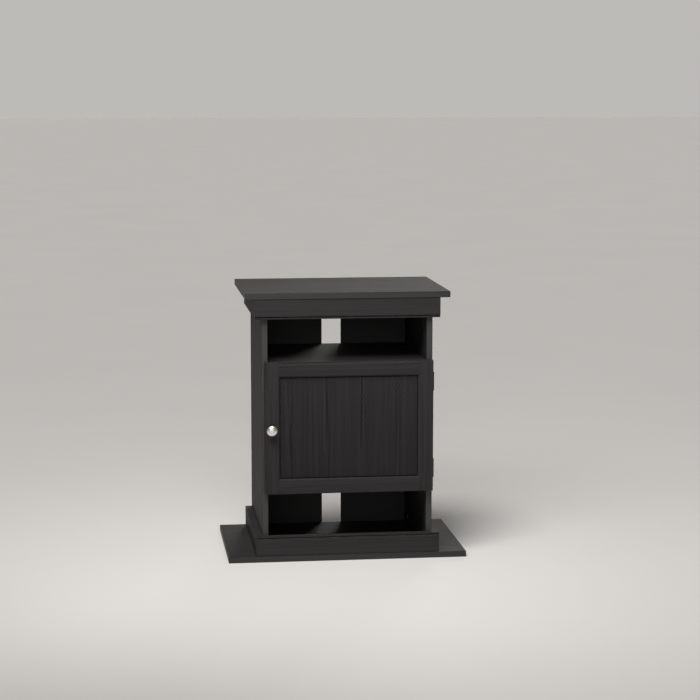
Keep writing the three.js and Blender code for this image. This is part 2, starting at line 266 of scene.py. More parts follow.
def makeWoodFigure():
    group, given, result = shaderGroup(
        "woodFigure",
        [
            ("Vector", "NodeSocketVector", None),
            ("Cathedral", "NodeSocketFloat", 0.5),
            ("Pores", "NodeSocketFloat", 0.7),
        ],
        [("Tone", "NodeSocketFloat"), ("Height", "NodeSocketFloat")],
    )
    streak, dense, wide, pore = (woodGrain[key] for key in ("streak", "dense", "wide", "pore"))
    place = given.outputs["Vector"]
    warped = wanderingPlace(group, place)
    staves = staveMask(group, place, warped)
    ticks = slantingTicks(group, place)
    streaks = stretchedNoise(
        group, warped, streak["stretch"], detail=streak["detail"], roughness=streak["roughness"]
    )
    denseLines = stretchedNoise(group, warped, dense["stretch"], roughness=dense["roughness"])
    wideLines = stretchedNoise(group, warped, wide["stretch"])
    poreShare = poreMask(group, warped, staves)
    figured = addSwing(group, denseLines, dense["gain"], ticks)
    figured = mathNode(group, "MULTIPLY", figured, given.outputs["Cathedral"])
    figured = mathNode(group, "MULTIPLY", figured, staves)
    poreDepth = mathNode(group, "MULTIPLY", poreShare, given.outputs["Pores"])
    tone = addSwing(group, streaks, streak["tone"], woodGrain["middleTone"])
    tone = addSwing(group, wideLines, wide["tone"], tone)
    tone = mathNode(group, "MULTIPLY_ADD", figured, dense["tone"], tone)
    tone = mathNode(group, "MULTIPLY_ADD", poreDepth, pore["tone"], tone, clamp=True)
    height = addSwing(group, streaks, streak["height"], woodGrain["middleHeight"])
    height = mathNode(group, "MULTIPLY_ADD", figured, dense["height"], height)
    height = mathNode(group, "MULTIPLY_ADD", poreDepth, pore["height"], height)
    group.links.new(tone, result.inputs["Tone"])
    group.links.new(height, result.inputs["Height"])
    return group


edgeWear = {
    "sharpness": (0.52, 0.62),
    "noise": {"scale": 55, "detail": 3.0, "roughness": 0.6},
    "broken": (0.35, 0.65),
}


def makeEdgeRub():
    # a mask of the arrises, broken up so that it never reads as an outline
    group, given, result = shaderGroup(
        "edgeRub",
        [("Vector", "NodeSocketVector", None), ("Amount", "NodeSocketFloat", 0.5)],
        [("Mask", "NodeSocketFloat")],
    )
    pointed = addNode(group, "ShaderNodeNewGeometry").outputs["Pointiness"]
    edge = spread(group, pointed, *edgeWear["sharpness"])
    breaks = evenNoise(group, given.outputs["Vector"], **edgeWear["noise"])
    broken = spread(group, breaks, *edgeWear["broken"])
    mask = mathNode(group, "MULTIPLY", edge, broken)
    mask = mathNode(group, "MULTIPLY", mask, given.outputs["Amount"], clamp=True)
    group.links.new(mask, result.inputs["Mask"])
    return group


dustAndSheenFall = {
    "facing": (0.55, 0.98),
    "patchNoise": {"scale": 9, "detail": 4.0, "roughness": 0.6},
    "patches": (0.35, 0.75, 0.35, 1.0),
    "speckNoise": {"scale": 900, "detail": 2.0, "roughness": 0.6},
    "specks": (0.45, 0.7, 0.4, 1.0),
}


def makeDustAndTopSheen():
    # dust that settles on faces that look up, thinly and in patches; its paler colour also paints a sheen
    # onto the tops
    group, given, result = shaderGroup(
        "fineDust",
        [("Vector", "NodeSocketVector", None), ("Amount", "NodeSocketFloat", 0.3)],
        [("Mask", "NodeSocketFloat")],
    )
    place = given.outputs["Vector"]
    normal = addNode(group, "ShaderNodeNewGeometry").outputs["Normal"]
    up = addNode(group, "ShaderNodeSeparateXYZ", None, {"Vector": normal}).outputs["Z"]
    facing = spread(group, up, *dustAndSheenFall["facing"])
    patches = spread(group, evenNoise(group, place, **dustAndSheenFall["patchNoise"]), *dustAndSheenFall["patches"])
    specks = spread(group, evenNoise(group, place, **dustAndSheenFall["speckNoise"]), *dustAndSheenFall["specks"])
    mask = mathNode(group, "MULTIPLY", mathNode(group, "MULTIPLY", patches, specks), facing)
    mask = mathNode(group, "MULTIPLY", mask, given.outputs["Amount"], clamp=True)
    group.links.new(mask, result.inputs["Mask"])
    return group


woodFigure = makeWoodFigure()
edgeRub = makeEdgeRub()
fineDust = makeDustAndTopSheen()


laminate = {
    "cabinet": {
        "dark": (0.0145, 0.0137, 0.0141, 1),
        "light": (0.0400, 0.0382, 0.0390, 1),
        "rough": (0.58, 0.74),
        "relief": 0.00022,
        "cathedral": 0.45,
        "pores": 0.8,
    },
    "door": {
        "dark": (0.0100, 0.0094, 0.0100, 1),
        "light": (0.0330, 0.0313, 0.0328, 1),
        "rough": (0.58, 0.74),
        "relief": 0.00026,
        "cathedral": 1.0,
        "pores": 0.9,
    },
    "gloss": 0.12,
    "heights": (0.3, 0.85),
    # the arris colours below are paler than the boards': a painted highlight along the rounded arrises
    "arrisDark": (0.0180, 0.0172, 0.0176, 1),
    "rubbed": (0.050, 0.048, 0.047, 1),
    "rubNoise": {"scale": 55, "detail": 3.0, "roughness": 0.6},
    "rubSpan": (0.46, 0.70),
    "arrisRough": 0.62,
    "rubbedRough": 0.48,
    # dust on faces that look up, which also lightens them as a painted sheen
    "dust": (0.16, 0.155, 0.15, 1),
    "dustRough": 0.6,
    "fineDust": 0.06,
}
grainTurns = {"x": (0, 0, 0), "y": (0, 0, -math.pi / 2), "z": (0, math.pi / 2, 0)}


def grainFigure(tree, coordinates, along, cathedral, pores, offset=(0, 0, 0)):
    turnedPlace = mapped(tree, coordinates, Location=offset, Rotation=grainTurns[along])
    return placeGroup(
        tree, woodFigure, {"Vector": turnedPlace, "Cathedral": cathedral, "Pores": pores}
    )


def tinted(color, tint):
    return tuple(c * tint for c in color[:3]) + (1,)


def roughFromHeight(tree, figure, values):
    smooth, rough = values["rough"]
    return spread(tree, figure.outputs["Height"], *laminate["heights"], rough, smooth)


def grainedLaminate(name, kind, along, offset, tint=1.0):
    values = laminate[kind]
    material, tree, shader, coordinates = newMaterial(name)
    figure = grainFigure(tree, coordinates, along, values["cathedral"], values["pores"], offset)
    dust = placeGroup(tree, fineDust, {"Vector": coordinates, "Amount": laminate["fineDust"]}).outputs["Mask"]
    dark, light = tinted(values["dark"], tint), tinted(values["light"], tint)
    base = mixColors(tree, figure.outputs["Tone"], dark, light)
    base = mixColors(tree, dust, base, laminate["dust"])
    roughness = roughFromHeight(tree, figure, values)
    roughness = mathNode(tree, "MULTIPLY_ADD", dust, laminate["dustRough"], roughness, clamp=True)
    shader.inputs["Specular IOR Level"].default_value = laminate["gloss"]
    dress(tree, shader, base, roughness)
    emboss(tree, shader, figure.outputs["Height"], 1.0, values["relief"])
    return material


def makePaintedArrisHighlight():
    # the narrow rounded arrises, painted paler in places as a highlight along them
    material, tree, shader, coordinates = newMaterial("rubbedArris")
    breaks = evenNoise(tree, coordinates, **laminate["rubNoise"])
    broken = spread(tree, breaks, *laminate["rubSpan"])
    base = mixColors(tree, broken, laminate["arrisDark"], laminate["rubbed"])
    roughness = spread(tree, broken, 0.0, 1.0, laminate["arrisRough"], laminate["rubbedRough"])
    shader.inputs["Specular IOR Level"].default_value = laminate["gloss"]
    dress(tree, shader, base, roughness)
    return material


rubbedArris = makePaintedArrisHighlight()
edgeTape = {
    "dark": (0.0400, 0.0394, 0.0405, 1),
    "light": (0.0640, 0.0630, 0.0648, 1),
    "rough": (0.42, 0.56),
    "topTint": 0.72,
    "cathedral": 0.2,
    "pores": 0.4,
    "strength": 0.6,
    "relief": 0.00011,
}


def makeEdgeTape(name, along, tint=1.0):
    # the plainer, lighter tape on a board's cut edges
    material, tree, shader, coordinates = newMaterial(name)
    figure = grainFigure(tree, coordinates, along, edgeTape["cathedral"], edgeTape["pores"])
    dark, light = tinted(edgeTape["dark"], tint), tinted(edgeTape["light"], tint)
    base = mixColors(tree, figure.outputs["Tone"], dark, light)
    shader.inputs["Specular IOR Level"].default_value = laminate["gloss"]
    dress(tree, shader, base, roughFromHeight(tree, figure, edgeTape))
    emboss(tree, shader, figure.outputs["Height"], edgeTape["strength"], edgeTape["relief"])
    return material


# backs, metals and plastic
plainFinishes = {
    "hardboard": {
        "dark": (0.085, 0.050, 0.026, 1),
        "light": (0.20, 0.125, 0.070, 1),
        "rough": (0.7, 0.9),
        "fibre": {"scale": 420, "detail": 6.0, "roughness": 0.75, "distortion": 1.2},
        "fibreSpan": (0.3, 0.7),
        "blotch": {"scale": 9, "detail": 3.0, "roughness": 0.6},
        "blotchGain": 0.9,
        "fleck": {
            "stretch": (1, 1, 1.6),
            "scale": 260,
            "detail": 2.0,
            "roughness": 0.6,
            "distortion": 2.0,
        },
        "fleckSpan": (0.62, 0.74),
        "fleckTone": -0.35,
        "weave": {"Scale": 620, "Randomness": 0.12},
        "fibreHeight": 0.5,
        "strength": 0.8,
        "relief": 0.0002,
    },
    "printedBack": {
        "dark": (0.013, 0.0126, 0.0132, 1),
        "light": (0.026, 0.025, 0.026, 1),
        "rough": (0.6, 0.72),
        "heights": (0.3, 0.8),
        "cathedral": 0.3,
        "pores": 0.4,
    },
    "blackSteel": {
        "dark": (0.011, 0.011, 0.012, 1),
        "light": (0.024, 0.024, 0.026, 1),
        "rough": (0.30, 0.48),
        "metal": 0.35,
        "mottle": 220,
        "rub": 0.6,
    },
    "satinNickel": {
        "dark": (0.74, 0.71, 0.63, 1),
        "light": (0.93, 0.91, 0.84, 1),
        "rough": (0.30, 0.42),
        "metal": 1.0,
        "mottle": 90,
        "rub": 0.3,
        "brushed": 0.5,
    },
    "zinc": {
        "dark": (0.36, 0.37, 0.38, 1),
        "light": (0.62, 0.63, 0.64, 1),
        "rough": (0.28, 0.50),
        "metal": 1.0,
        "mottle": 300,
        "rub": 0.4,
    },
    "blackPlastic": {
        "dark": (0.010, 0.010, 0.011, 1),
        "light": (0.020, 0.020, 0.021, 1),
        "rough": (0.42, 0.58),
        "rub": 0.4,
        "rubTone": 0.7,
        "grain": {"Scale": 1500, "Randomness": 1.0},
        "grainSpan": (0.0, 0.8),
        "cloud": {"scale": 60, "detail": 3.0},
        "strength": 0.5,
        "relief": 0.00008,
    },
}
metalGrain = {
    "mottle": {"detail": 4.0, "roughness": 0.6},
    "mottleSpan": (0.3, 0.7),
    "fine": {"detail": 3.0, "roughness": 0.6},
    "finer": 9,
    "fineTone": 0.5,
    "rubTone": 0.5,
    "brushLines": {"stretch": (1, 6, 1), "scale": 900, "detail": 2.0},
    "strength": 0.35,
    "relief": 0.00003,
}


def makeHardboard():
    # pressed fibre: short fibres in every direction and the weave of the press screen
    values = plainFinishes["hardboard"]
    material, tree, shader, coordinates = newMaterial("hardboard")
    fibres = evenNoise(tree, coordinates, **values["fibre"])
    blotches = evenNoise(tree, coordinates, **values["blotch"])
    flecks = spread(tree, stretchedNoise(tree, coordinates, **values["fleck"]), *values["fleckSpan"])
    tone = addSwing(tree, blotches, values["blotchGain"], fibres)
    tone = mathNode(tree, "MULTIPLY_ADD", flecks, values["fleckTone"], tone, clamp=True)
    base = mixColors(tree, tone, values["dark"], values["light"])
    dress(tree, shader, base, spread(tree, fibres, *values["fibreSpan"], *values["rough"]))
    weave = addNode(
        tree,
        "ShaderNodeTexVoronoi",
        {"feature": "F1", "distance": "CHEBYCHEV"},
        {"Vector": coordinates, **values["weave"]},
    ).outputs["Distance"]
    height = mathNode(tree, "MULTIPLY_ADD", fibres, values["fibreHeight"], weave)
    emboss(tree, shader, height, values["strength"], values["relief"])
    return material


def makePrintedBack():
    # the black side that looks into the cabinet, with a faint flat grain print
    values = plainFinishes["printedBack"]
    material, tree, shader, coordinates = newMaterial("printedBack")
    figure = grainFigure(tree, coordinates, "z", values["cathedral"], values["pores"])
    base = mixColors(tree, figure.outputs["Tone"], values["dark"], values["light"])
    roughness = spread(tree, figure.outputs["Height"], *values["heights"], *values["rough"])
    dress(tree, shader, base, roughness)
    return material


def makeMetal(name):
    values = plainFinishes[name]
    material, tree, shader, coordinates = newMaterial(name)
    shader.inputs["Metallic"].default_value = values["metal"]
    mottle = evenNoise(tree, coordinates, values["mottle"], **metalGrain["mottle"])
    fine = evenNoise(tree, coordinates, values["mottle"] * metalGrain["finer"], **metalGrain["fine"])
    rub = placeGroup(tree, edgeRub, {"Vector": coordinates, "Amount": values["rub"]})
    tone = addSwing(tree, fine, metalGrain["fineTone"], mottle)
    tone = mathNode(tree, "MULTIPLY_ADD", rub.outputs["Mask"], metalGrain["rubTone"], tone, clamp=True)
    base = mixColors(tree, tone, values["dark"], values["light"])
    dress(tree, shader, base, spread(tree, mottle, *metalGrain["mottleSpan"], *values["rough"]))
    height = fine
    if "brushed" in values:
        brushLines = stretchedNoise(tree, coordinates, **metalGrain["brushLines"])
        height = mathNode(tree, "MULTIPLY_ADD", brushLines, values["brushed"], fine)
    emboss(tree, shader, height, metalGrain["strength"], metalGrain["relief"])
    return material


def makePlastic():
    values = plainFinishes["blackPlastic"]
    material, tree, shader, coordinates = newMaterial("blackPlastic")
    inputs = {"Vector": coordinates, **values["grain"]}
    grain = addNode(tree, "ShaderNodeTexVoronoi", None, inputs).outputs["Distance"]
    cloud = evenNoise(tree, coordinates, **values["cloud"])
    rub = placeGroup(tree, edgeRub, {"Vector": coordinates, "Amount": values["rub"]})
    tone = mathNode(tree, "MULTIPLY_ADD", rub.outputs["Mask"], values["rubTone"], cloud, clamp=True)
    base = mixColors(tree, tone, values["dark"], values["light"])
    dress(tree, shader, base, spread(tree, grain, *values["grainSpan"], *values["rough"]))
    emboss(tree, shader, grain, values["strength"], values["relief"])
    return material


hardboard = makeHardboard()
printedBack = makePrintedBack()
blackSteel = makeMetal("blackSteel")
satinNickel = makeMetal("satinNickel")
zinc = makeMetal("zinc")
blackPlastic = makePlastic()
print("materials ready")


# mesh helpers
def camelName(node):
    first, *others = node.split("_")
    return first + "".join(word.capitalize() for word in others)


def bodyOf(node):
    return nodes[node]["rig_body"]


def settle(piece, body, stoodFor):
    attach(piece, body)
    if stoodFor:
        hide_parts(*stoodFor)


def pieceFrom(bm, name, body, stoodFor, slot, *materials):
    mesh = bpy.data.meshes.new(name)
    bm.to_mesh(mesh)
    bm.free()
    for face in mesh.polygons:
        face.use_smooth = True
    for material in materials:
        mesh.materials.append(material)
    piece = bpy.data.objects.new(name, mesh)
    bpy.context.scene.collection.objects.link(piece)
    if body:
        settle(piece, body, stoodFor)
    return piece


def softenEdges(piece, width, segments=2, angle=25):
    bevel = piece.modifiers.new("softEdges", "BEVEL")
    bevel.width = width
    bevel.segments = segments
    bevel.limit_method = "ANGLE"
    bevel.angle_limit = math.radians(angle)
    bevel.harden_normals = True
    bevel.miter_outer = "MITER_ARC"
    return piece


def paintArrisHighlights(piece):
    # the softened arrises get a material of their own, which paints a broken highlight along them
    piece.data.materials.append(rubbedArris)
    piece.modifiers["softEdges"].material = len(piece.data.materials) - 1


def applyStack(piece):
    graph = bpy.context.evaluated_depsgraph_get()
    made = bpy.data.meshes.new_from_object(piece.evaluated_get(graph))
    old = piece.data
    piece.modifiers.clear()
    piece.data = made
    bpy.data.meshes.remove(old)
    made.name = piece.name


def carve(piece, cutters):
    for cutter in cutters:
        cutting = piece.modifiers.new("carve", "BOOLEAN")
        cutting.operation = "DIFFERENCE"
        cutting.solver = "EXACT"
        cutting.object = cutter
    applyStack(piece)
    for cutter in cutters:
        mesh = cutter.data
        bpy.data.objects.remove(cutter)
        bpy.data.meshes.remove(mesh)


def boxInto(bm, low, high):
    for corner in bmesh.ops.create_cube(bm, size=1)["verts"]:
        corner.co = Vector(high[i] if corner.co[i] > 0 else low[i] for i in range(3))


def circle(radius, steps):
    turns = [2 * math.pi * i / steps for i in range(steps)]
    return [(radius * math.cos(turn), radius * math.sin(turn)) for turn in turns]


def closedTube(bm, rings):
    # walls from each ring of points to the next, and a cap at both ends
    count = len(rings[0])
    for a, b in zip(rings, rings[1:]):
        for i in range(count):
            j = (i + 1) % count
            bm.faces.new((a[i], a[j], b[j], b[i]))
    bm.faces.new(rings[0][::-1])
    bm.faces.new(rings[-1])


def towards(direction):
    return zAxis.rotation_difference(direction).to_matrix().to_4x4()


def mainAxis(way):
    return max(range(3), key=lambda i: abs(way[i]))


def ontoFace(place, low, high, way):
    # the same place, moved onto the face of the box that looks this way
    axis = mainAxis(way)
    moved = place.copy()
    moved[axis] = high[axis] if way[axis] > 0 else low[axis]
    return moved


def turned(name, outline, place, direction, steps=40, subdivisions=0, material=None):
    # outline: (radius, height) from the top of the shape down, turned round its own Z
    bm = bmesh.new()
    points = [bm.verts.new((radius, 0, height)) for radius, height in outline]
    for a, b in zip(points, points[1:]):
        bm.edges.new((a, b))
    piece = pieceFrom(bm, name, None, (), None, *([material] if material else []))
    screw = piece.modifiers.new("turn", "SCREW")
    screw.steps = screw.render_steps = steps
    screw.use_merge_vertices = True
    screw.merge_threshold = 0.00001
    screw.use_smooth_shade = True
    if subdivisions:
        smooth = piece.modifiers.new("smooth", "SUBSURF")
        smooth.levels = smooth.render_levels = subdivisions
    applyStack(piece)
    piece.data.transform(Matrix.Translation(Vector(place)) @ towards(direction))
    return piece


def turnedPiece(node, material, outline, place, direction, steps, subdivisions=0):
    piece = turned(camelName(node), outline, place, direction, steps, subdivisions, material)
    settle(piece, bodyOf(node), (node,))
    return piece


def roundCutter(radius, place, direction, length, steps=40):
    outline = [(0, length), (radius, length), (radius, 0), (0, 0)]
    return turned("cutter", outline, place, direction, steps)


def softCopy(node, slot, material, width):
    # a merged copy of a CAD solid, its flat faces joined and its arrises rounded
    bm = bmesh.new()
    bm.from_mesh(nodes[node].data)
    bmesh.ops.remove_doubles(bm, verts=bm.verts, dist=0.01 * mm)
    bmesh.ops.dissolve_limit(bm, angle_limit=math.radians(0.5), verts=bm.verts, edges=bm.edges)
    piece = pieceFrom(bm, camelName(node), bodyOf(node), (node,), slot, material)
    return softenEdges(piece, width)


# boards, with the tape on their cut edges
boards = {
    "arris": 0.7 * mm,
    "camHole": 7.7 * mm,
    "camHoleDepth": 12.3 * mm,
    "holeOver": 2 * mm,
    "slack": 0.1 * mm,
    "tapeLeast": 0.001,  # square metres, more than any wall of a cam hole
    "each": {
        "top": {
            "node": "top_board",
            "along": "x",
            "tape": "around",
            "offset": (0.31, 0.07, 0.22),
        },
        "base": {
            "node": "base_board",
            "along": "x",
            "tape": "around",
            "offset": (0.83, 0.41, 0.05),
        },
        "leftSide": {
            "node": "left_side_panel",
            "along": "z",
            "tape": "front",
            "offset": (0.12, 0.93, 0.35),
        },
        "rightSide": {
            "node": "right_side_panel",
            "along": "z",
            "tape": "front",
            "offset": (0.57, 0.18, 0.61),
        },
        "lowerShelf": {
            "node": "lower_shelf",
            "along": "x",
            "tape": "front",
            "offset": (0.44, 0.66, 0.19),
        },
        "upperShelf": {
            "node": "upper_shelf",
            "along": "x",
            "tape": "front",
            "offset": (0.09, 0.27, 0.81),
        },
    },
}
panelTape = {along: makeEdgeTape("panelTape" + along.capitalize(), along) for along in ("x", "z")}
boardTape = makeEdgeTape("boardTape", "x", edgeTape["topTint"])


def camsIn(board):
    # the cams whose face lies in this board, with the way each one looks
    low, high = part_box(board)
    slack = boards["slack"]
    found = []
    for node in nodes:
        if "cam" not in node.split("_") or "bolt" in node.split("_"):
            continue
        camLow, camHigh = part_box(node)
        if any(camLow[i] < low[i] - slack or camHigh[i] > high[i] + slack for i in range(3)):
            continue
        if "shelf" in board:
            way = -zAxis
        else:
            way = xAxis if camHigh.x < 0 else -xAxis
        found.append((node, (camLow + camHigh) / 2, way))
    return found


def tapeEdges(piece, values):
    # panels and shelves are taped in front only, the top and base boards all round
    around = values["tape"] == "around"
    piece.data.materials.append(boardTape if around else panelTape[values["along"]])
    for polygon in piece.data.polygons:
        sideways = abs(polygon.normal.z) < 0.1 if around else polygon.normal.y < -0.9
        if sideways and polygon.area > boards["tapeLeast"]:
            polygon.material_index = 1


def makeBoard(name, values):
    low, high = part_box(values["node"])
    bm = bmesh.new()
    boxInto(bm, low, high)
    material = grainedLaminate(name + "Grain", "cabinet", values["along"], values["offset"])
    piece = pieceFrom(bm, name, "carcass", (values["node"],), "black_laminate", material)
    cutters = []
    for _, centre, way in camsIn(values["node"]):
        start = ontoFace(centre, low, high, way) + way * boards["holeOver"]
        depth = boards["camHoleDepth"] + boards["holeOver"]
        cutters.append(roundCutter(boards["camHole"], start, -way, depth))
    if cutters:
        carve(piece, cutters)
    tapeEdges(piece, values)
    for polygon in piece.data.polygons:
        polygon.use_smooth = True
    paintArrisHighlights(softenEdges(piece, boards["arris"], 3))


for boardName, boardValues in boards["each"].items():
    makeBoard(boardName, boardValues)
print("boards made")


# backs, each a thin sheet nailed on from behind
backs = {
    "arris": 0.3 * mm,
    "nailHead": 2.1 * mm,
    "nailCrown": 0.72,
    "nailProud": 0.5 * mm,
    "nailSunk": 0.2 * mm,
    "nailSides": 10,
    "nailInset": 8 * mm,
    "nailsUp": 7,
    "nailsAcross": 3,
    "firstUp": 42 * mm,
    "firstAcross": 58 * mm,
    "acrossStep": 52 * mm,
}


def makeBack(node, name):
    low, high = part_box(node)
    bm = bmesh.new()
    boxInto(bm, low, high)
    for face in bm.faces:
        face.material_index = 0 if face.calc_center_median().y < low.y + 0.01 * mm else 1
    piece = pieceFrom(bm, name, "carcass", (node,), "backing_board", printedBack, hardboard)
    softenEdges(piece, backs["arris"])


def nailDisc(bm, x, z, face):
    head, proud = backs["nailHead"], backs["nailProud"]
    rows = (
        (head, face - backs["nailSunk"]),
        (head, face + proud * 0.5),
        (head * backs["nailCrown"], face + proud),
    )
    rings = []
    for radius, y in rows:
        rings.append([bm.verts.new((x + dx, y, z + dz)) for dx, dz in circle(radius, backs["nailSides"])])
    closedTube(bm, rings)
    bmesh.ops.recalc_face_normals(bm, faces=bm.faces)


def nailRow(name, x, z, count, step):
    bm = bmesh.new()
    nailDisc(bm, x, z, backHigh.y)
    piece = pieceFrom(bm, name, "carcass", (), "zinc", zinc)
    row = piece.modifiers.new("row", "ARRAY")
    row.use_relative_offset = False
    row.use_constant_offset = True
    row.constant_offset_displace = step
    row.count = count
    both = piece.modifiers.new("bothSides", "MIRROR")
    both.use_mirror_merge = False


makeBack("back_panel_left", "leftBack")
makeBack("back_panel_right", "rightBack")
backLow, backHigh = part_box("back_panel_right")
upStep = (backHigh.z + backLow.z - 2 * backs["firstUp"]) / (backs["nailsUp"] - 1)
nailRow("sideNails", backHigh.x - backs["nailInset"], backs["firstUp"], backs["nailsUp"], (0, 0, upStep))
for shelfNode in ("lower_shelf", "upper_shelf"):
    shelfLow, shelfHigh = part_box(shelfNode)
    shelfMiddle = (shelfLow.z + shelfHigh.z) / 2
    step = (backs["acrossStep"], 0, 0)
    nailRow(camelName(shelfNode) + "Nails", backs["firstAcross"], shelfMiddle, backs["nailsAcross"], step)
print("backs made")


# mouldings: a grooved front board over the ends of two plain side boards
moulding = {
    "lipTall": 4 * mm,
    "lipInset": 2 * mm,
    "quirkTall": 2.5 * mm,
    "quirkDeep": 5 * mm,
    "arris": 1 * mm,
    "thick": 18 * mm,
    "round": 0.45 * mm,
    "grain": {
        "apron_front": ("x", (0.21, 0.55, 0.47)),
        "apron_left": ("y", (0.65, 0.32, 0.11)),
        "apron_right": ("y", (0.72, 0.05, 0.38)),
        "plinth_front": ("x", (0.91, 0.14, 0.73)),
        "plinth_left": ("y", (0.27, 0.88, 0.51)),
        "plinth_right": ("y", (0.36, 0.49, 0.94)),
    },
}


def mouldingSection(low, high, lipUp):
    # (depth, height) round the board's end, with the lip at its top or its foot
    thick, inset, deep, arris = (moulding[key] for key in ("thick", "lipInset", "quirkDeep", "arris"))
    lip, quirk = moulding["lipTall"], moulding["lipTall"] + moulding["quirkTall"]
    rows = [
        (thick, 0),
        (inset, 0),
        (inset, lip),
        (deep, lip),
        (deep, quirk),
        (arris, quirk),
        (0, quirk + arris),
        (0, high - low),
        (thick, high - low),
    ]
    return [(depth, high - rise if lipUp else low + rise) for depth, rise in rows]


def makeMoulding(kind, lipUp):
    low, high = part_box(kind + "_front")
    section = mouldingSection(low.z, high.z, lipUp)
    shapes = {side: bmesh.new() for side in ("front", "left", "right")}
    front = shapes["front"]
    ends = [[front.verts.new((x, low.y + depth, z)) for depth, z in section] for x in (low.x, high.x)]
    closedTube(front, ends)
    bmesh.ops.recalc_face_normals(front, faces=front.faces)
    for side in ("left", "right"):
        boxInto(shapes[side], *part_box(kind + "_" + side))
    for side, shape in shapes.items():
        node = kind + "_" + side
        name = camelName(node)
        material = grainedLaminate(name + "Grain", "cabinet", *moulding["grain"][node])
        piece = pieceFrom(shape, name, "carcass", (node,), "black_laminate", material)
        paintArrisHighlights(softenEdges(piece, moulding["round"]))


makeMoulding("apron", False)
makeMoulding("plinth", True)
print("mouldings made")


# the recessed panel is coloured a little darker than the frame round it
door = {
    "arris": 0.5 * mm,
    "members": {
        "door_left_stile": {"along": "z", "tint": 1.22, "offset": (0.18, 0.39, 0.77)},
        "door_right_stile": {"along": "z", "tint": 1.22, "offset": (0.62, 0.81, 0.24)},
        "door_top_rail": {"along": "x", "tint": 1.22, "offset": (0.53, 0.26, 0.69)},
        "door_bottom_rail": {"along": "x", "tint": 1.22, "offset": (0.07, 0.71, 0.33)},
        "door_panel": {"along": "z", "tint": 0.92, "offset": (0.35, 0.58, -0.006)},
    },
}

for doorNode, doorValues in door["members"].items():
    grain = grainedLaminate(
        camelName(doorNode) + "Grain", "door", doorValues["along"], doorValues["offset"], doorValues["tint"]
    )
    paintArrisHighlights(softCopy(doorNode, "door_laminate", grain, door["arris"]))
print("door made")


# the knob's outline is (radius, reach) in millimetres, from its face to its foot
knob = {
    "steps": 48,
    "subdivisions": 1,
    "outline": [
        (0, 25.0),
        (4.5, 24.75),
        (8.5, 23.9),
        (11.6, 22.2),
        (13.6, 20.0),
        (14.4, 17.9),
        (14.1, 16.6),
        (13.0, 15.2),
        (10.4, 13.2),
        (7.6, 11.2),
        (6.2, 9.0),
        (5.7, 6.6),
        (6.1, 4.4),
        (7.4, 2.9),
        (8.7, 2.1),
        (9.1, 1.5),
        (9.1, 0.25),
        (8.9, 0.0),
        (2.0, 0.0),
        (0, 0.0),
    ],
}

knobLow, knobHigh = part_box("door_knob")
turnedPiece(
    "door_knob",
    satinNickel,
    [(radius * mm, reach * mm) for radius, reach in knob["outline"]],
    ontoFace((knobLow + knobHigh) / 2, knobLow, knobHigh, yAxis),
    -yAxis,
    knob["steps"],
    knob["subdivisions"],
)


# screws with a cross recess; a share is of the head's radius
screws = {
    "steps": 28,
    "recessHalf": 0.62,
    "recessWide": 0.16,
    "recessDeep": 0.55 * mm,
    "shank": 0.55,
    "tip": 2 * mm,
    "dome": [(0, 0), (0.55, 0.25), (0.9, 1)],
    "edge": 0.2 * mm,
    "cone": {"edge": 0.15 * mm, "wide": 0.98, "deep": 0.6, "past": 0.4 * mm},
    "kinds": {
        "hinge": {"headTall": 0.8 * mm, "crown": 0.12 * mm, "countersunk": True},
        "catch": {"headTall": 1.2 * mm, "crown": 0.35 * mm, "countersunk": False},
        "strike": {"headTall": 0.9 * mm, "crown": 0.3 * mm, "countersunk": False},
        "knob": {"headTall": 1.4 * mm, "crown": 0.45 * mm, "countersunk": False},
    },
}
crossCut = {"over": 0.6 * mm, "taper": 0.8}


def crossCutter(place, way, half, wide, deep):
    plus = []
    arm = [(-wide, -half), (wide, -half), (wide, -wide)]
    for _ in range(4):
        plus += arm
        arm = [(-y, x) for x, y in arm]
    bm = bmesh.new()
    taper = crossCut["taper"]
    foot = [bm.verts.new((x * taper, y * taper, -deep)) for x, y in plus]
    top = [bm.verts.new((x, y, crossCut["over"])) for x, y in plus]
    closedTube(bm, [foot, top])
    bmesh.ops.recalc_face_normals(bm, faces=bm.faces)
    cutter = pieceFrom(bm, "cutter", None, (), None)
    cutter.data.transform(Matrix.Translation(place) @ towards(way))
    return cutter


def screwOutline(values, radius, length):
    tall, crown, shank = values["headTall"], values["crown"], radius * screws["shank"]
    cone, edge = screws["cone"], screws["edge"]
    outline = [(radius * share, -crown * drop) for share, drop in screws["dome"]]
    if values["countersunk"]:
        outline += [
            (radius, -crown - cone["edge"]),
            (radius * cone["wide"], -tall * cone["deep"]),
            (shank, -tall - cone["past"]),
        ]
    else:
        outline += [(radius, -crown - edge), (radius, -tall), (shank, -tall)]
    return outline + [(shank, -length + screws["tip"]), (0, -length)]


def makeScrew(node, kind, way, material):
    # way is the direction in which the head looks
    low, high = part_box(node)
    axis = mainAxis(way)
    across = [i for i in range(3) if i != axis]
    radius = (high[across[0]] - low[across[0]]) / 2
    place = ontoFace((low + high) / 2, low, high, way)
    outline = screwOutline(screws["kinds"][kind], radius, high[axis] - low[axis])
    piece = turnedPiece(node, material, outline, place, way, screws["steps"])
    half, wide = radius * screws["recessHalf"], radius * screws["recessWide"]
    carve(piece, [crossCutter(place, way, half, wide, screws["recessDeep"])])


for end in ("upper", "lower"):
    for row in ("low", "high"):
        makeScrew(f"{end}_hinge_cabinet_screw_{row}", "hinge", -yAxis, blackSteel)
        makeScrew(f"{end}_hinge_door_screw_{row}", "hinge", yAxis, blackSteel)
for side in ("left", "right"):
    makeScrew(f"catch_screw_{side}", "catch", -zAxis, zinc)
makeScrew("strike_screw", "strike", yAxis, zinc)
makeScrew("knob_screw", "knob", yAxis, zinc)
print("knob and screws made")


